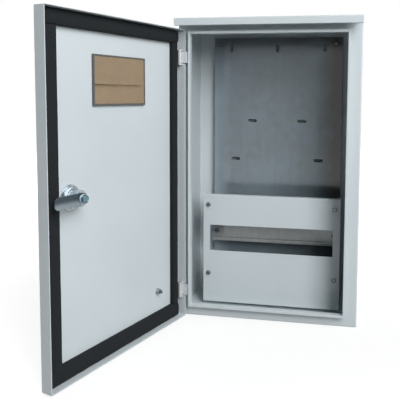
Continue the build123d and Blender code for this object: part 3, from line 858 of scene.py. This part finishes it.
def paperStrip(node, seamOnTop, phase):
    low, high = shutBox(node)
    if seamOnTop:  # the lower strip runs on behind the upper one
        high.z += paperLook["overlap"]
    lift = 0.0 if seamOnTop else paperLook["lift"]
    columns, lines = paperLook["across"], paperLook["down"]
    bm = bmesh.new()
    sheets = []
    for layer in (0, 1):
        rows = []
        for down in range(lines + 1):
            v = down / lines
            row = []
            for across in range(columns + 1):
                u = across / columns
                y = low.y + paperRise(u, v, lift, phase) + layer * paperLook["thick"]
                row.append(bm.verts.new((low.x + (high.x - low.x) * u, y, low.z + (high.z - low.z) * v)))
            rows.append(row)
        sheets.append(rows)
    back, front = sheets
    for down in range(lines):
        for across in range(columns):
            for rows, turnRound in ((front, True), (back, False)):
                quad = rows[down][across:across + 2] + rows[down + 1][across:across + 2][::-1]
                bm.faces.new(reversed(quad) if turnRound else quad)
    backRim, frontRim = rimOf(back), rimOf(front)
    for index in range(len(backRim)):
        after = (index + 1) % len(backRim)
        bm.faces.new((backRim[index], backRim[after], frontRim[after], frontRim[index]))
    bmesh.ops.recalc_face_normals(bm, faces=bm.faces)
    bm.transform(swingOpen)
    mesh = meshFrom(bm, "paper_" + node)
    shadeByAngle(mesh, paperLook["smoothUnder"])
    return settlePiece(looseObject("paper_" + node, mesh), [node], finishOf(node))


paperStrip("upper_paper", False, 0.8)
paperStrip("lower_paper", True, 2.3)
print("paper made")


# floor, light and camera

stageLook = {"floorLevel": cadBox[0][2], "floorSize": 60.0, "floorColour": (0.32, 0.32, 0.32),
             "floorGlow": (0.69, 1.0), "glowReach": (0.4, 1.5), "roomColour": (1.0, 1.0, 1.0), "roomLight": 0.05}


def seenDirectly(tree):  # camera, mirror and see-through rays get the white ground
    path = tree.nodes.new("ShaderNodeLightPath").outputs
    mirrored = mathOn(tree, "MAXIMUM", path["Is Camera Ray"], path["Is Glossy Ray"])
    return mathOn(tree, "MAXIMUM", mirrored, path["Is Transmission Ray"])


def paleFloor():
    half = stageLook["floorSize"] / 2
    level = stageLook["floorLevel"]
    mesh = bpy.data.meshes.new("paleFloor")
    mesh.from_pydata([(-half, -half, level), (half, -half, level), (half, half, level), (-half, half, level)],
                     [], [(0, 1, 2, 3)])
    floor = looseObject("paleFloor", mesh)
    finish, tree, shader, where = startFinish("paleFloor")
    tree.nodes.remove(shader)
    link = tree.links.new
    matt = tree.nodes.new("ShaderNodeBsdfDiffuse")
    matt.inputs["Color"].default_value = stageLook["floorColour"] + (1.0,)
    glow = tree.nodes.new("ShaderNodeEmission")
    away = tree.nodes.new("ShaderNodeVectorMath")  # shadow shows near the cabinet, farther out all is white
    away.operation = "LENGTH"
    link(where, away.inputs[0])
    link(remapped(tree, away.outputs["Value"], *stageLook["glowReach"], *stageLook["floorGlow"]),
         glow.inputs["Strength"])
    both = tree.nodes.new("ShaderNodeAddShader")
    link(matt.outputs[0], both.inputs[0])
    link(glow.outputs[0], both.inputs[1])
    choice = tree.nodes.new("ShaderNodeMixShader")
    link(seenDirectly(tree), choice.inputs["Fac"])
    link(matt.outputs[0], choice.inputs[1])
    link(both.outputs[0], choice.inputs[2])
    link(choice.outputs[0], tree.nodes["Material Output"].inputs["Surface"])
    mesh.materials.append(finish)


def whiteRoom():
    world = bpy.data.worlds.new("whiteRoom")
    bpy.context.scene.world = world
    world.use_nodes = True
    tree = world.node_tree
    room = tree.nodes["Background"]
    room.inputs["Color"].default_value = stageLook["roomColour"] + (1.0,)
    strength = remapped(tree, seenDirectly(tree), 0, 1, stageLook["roomLight"], 1.0)
    tree.links.new(strength, room.inputs["Strength"])


# bearing is to the right of straight ahead, height above level, both in degrees from the aim
lampAim = Vector((-0.04, -0.12, 0.0))
lampLook = {"key": {"bearing": 37.0, "height": 21.0, "reach": 2.4, "wide": 1.1, "tall": 1.0, "power": 33.5},
            "upper": {"bearing": 35.0, "height": 42.0, "reach": 2.4, "wide": 1.0, "tall": 1.0, "power": 26.0},
            "side": {"bearing": 80.0, "height": 38.0, "reach": 2.4, "wide": 1.0, "tall": 1.0, "power": 16.0},
            "rear": {"bearing": 222.0, "height": 30.0, "reach": 2.6, "wide": 2.0, "tall": 2.0, "power": 72.0}}


def softLamp(name, look):
    bearing, height = math.radians(look["bearing"]), math.radians(look["height"])
    level = Vector((math.sin(bearing), -math.cos(bearing), 0.0))
    away = level * math.cos(height) + Vector((0.0, 0.0, math.sin(height)))
    lamp = bpy.data.lights.new(name, "AREA")
    lamp.shape = "RECTANGLE"
    lamp.size = look["wide"]
    lamp.size_y = look["tall"]
    lamp.energy = look["power"]
    obj = looseObject(name, lamp)
    obj.location = lampAim + away * look["reach"]
    obj.rotation_euler = (-away).to_track_quat("-Z", "Y").to_euler()


cameraLook = {"place": (0.13117, -1.05555, 0.12629), "yaw": 10.50, "pitch": -4.62, "roll": 0.44,
              "focalPixels": 566.86, "centreX": 243.93, "centreY": 141.21, "framePixels": 400.0,
              "sensor": 36.0, "farthest": 200.0}


def photoCamera():
    yaw, pitch, roll = (math.radians(cameraLook[name]) for name in ("yaw", "pitch", "roll"))
    ahead = Vector((-math.sin(yaw) * math.cos(pitch), math.cos(yaw) * math.cos(pitch), math.sin(pitch)))
    level = Vector((math.cos(yaw), math.sin(yaw), 0))
    upright = level.cross(ahead)
    right = level * math.cos(roll) + upright * math.sin(roll)
    up = upright * math.cos(roll) - level * math.sin(roll)
    lens = bpy.data.cameras.new("photoCamera")
    lens.sensor_width = cameraLook["sensor"]
    lens.lens = cameraLook["focalPixels"] / cameraLook["framePixels"] * cameraLook["sensor"]
    lens.shift_x = 0.5 - cameraLook["centreX"] / cameraLook["framePixels"]
    lens.shift_y = cameraLook["centreY"] / cameraLook["framePixels"] - 0.5
    lens.clip_end = cameraLook["farthest"]
    camera = looseObject("photoCamera", lens)
    turn = Matrix((right, up, -ahead)).transposed().to_4x4()
    camera.matrix_world = Matrix.Translation(cameraLook["place"]) @ turn
    bpy.context.scene.camera = camera


paleFloor()
whiteRoom()
for name, look in lampLook.items():
    softLamp(name + "Lamp", look)
photoCamera()
bpy.context.scene.view_settings.view_transform = "Standard"
print("floor, light and camera set")
